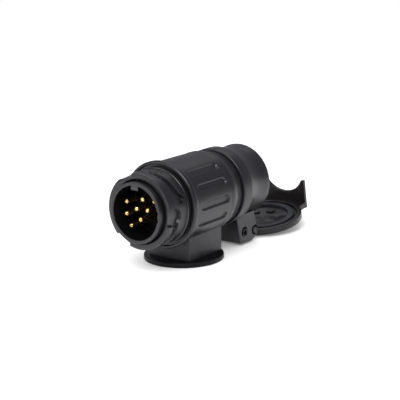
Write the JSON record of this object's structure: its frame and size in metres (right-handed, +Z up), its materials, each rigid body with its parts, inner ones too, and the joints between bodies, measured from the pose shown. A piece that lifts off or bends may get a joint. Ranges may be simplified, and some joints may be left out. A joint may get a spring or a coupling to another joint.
{
  "type": "trailer wiring connector",
  "caption": "Trailer wiring adapter: recessed-pin plug with a bayonet twist grip at one end, and a round socket with a hinged, clawed lid at the other.",
  "frame": {"origin": "centre of the foot's flat underside", "axes": "+Y along the barrel axis from the plug's mouth towards the socket and its lid, +Z up from the foot towards the barrel axis, +X across"},
  "size_m": [0.0504, 0.1538, 0.0608],
  "materials": {
    "black_plastic": "satin moulded black plastic with a fine grain",
    "insert_plastic": "smooth satin black plastic",
    "black_rubber": "matte black rubber",
    "gasket_rubber": "matte dark grey rubber",
    "brass_contact": "bright turned brass",
    "plated_steel": "zinc-plated steel",
    "blackened_pin": "blackened steel",
    "wire_insulation": "smooth PVC wire insulation"
  },
  "bodies": {
    "core": {"plug_insert": "insert_plastic", "pin_retainer": "insert_plastic", "plug_pin_1": "brass_contact", "plug_pin_2": "brass_contact", "plug_pin_3": "brass_contact", "plug_pin_4": "brass_contact", "plug_pin_5": "brass_contact", "plug_pin_6": "brass_contact", "plug_pin_7": "brass_contact", "plug_pin_8": "brass_contact", "neck_seal": "black_rubber", "neck_gasket": "black_rubber", "neck_nut": "plated_steel", "barrel": "black_plastic", "socket_block": "insert_plastic", "contact_retainer": "insert_plastic", "block_ring": "plated_steel", "block_screws": "plated_steel", "socket_contact_1": "brass_contact", "socket_contact_2": "brass_contact", "socket_contact_3": "brass_contact", "socket_contact_4": "brass_contact", "socket_contact_5": "brass_contact", "socket_contact_6": "brass_contact", "socket_contact_7": "brass_contact", "jumper_wire_1": "wire_insulation", "jumper_wire_2": "wire_insulation", "jumper_wire_3": "wire_insulation", "jumper_wire_4": "wire_insulation", "jumper_wire_5": "wire_insulation", "jumper_wire_6": "wire_insulation", "jumper_wire_7": "wire_insulation", "hinge_pin": "blackened_pin", "cross_tube": "blackened_pin"},
    "grip": {"bayonet_sleeve": "black_plastic", "front_seal": "black_rubber", "grip_body": "black_plastic", "rest_foot": "black_plastic"},
    "lid": {"lid": "black_plastic", "lid_gasket": "gasket_rubber"}
  },
  "joints": [
    {"name": "twist_lock", "type": "hinge", "parent": "core", "child": "grip", "pos_m": [0, 0, 0.0356], "axis": [0, -1, 0], "range_deg": [0, 90]},
    {"name": "lid_hinge", "type": "hinge", "parent": "core", "child": "lid", "pos_m": [0, 0.0525, 0.0068], "axis": [1, 0, 0], "range_deg": [0, 80.2]}
  ]
}
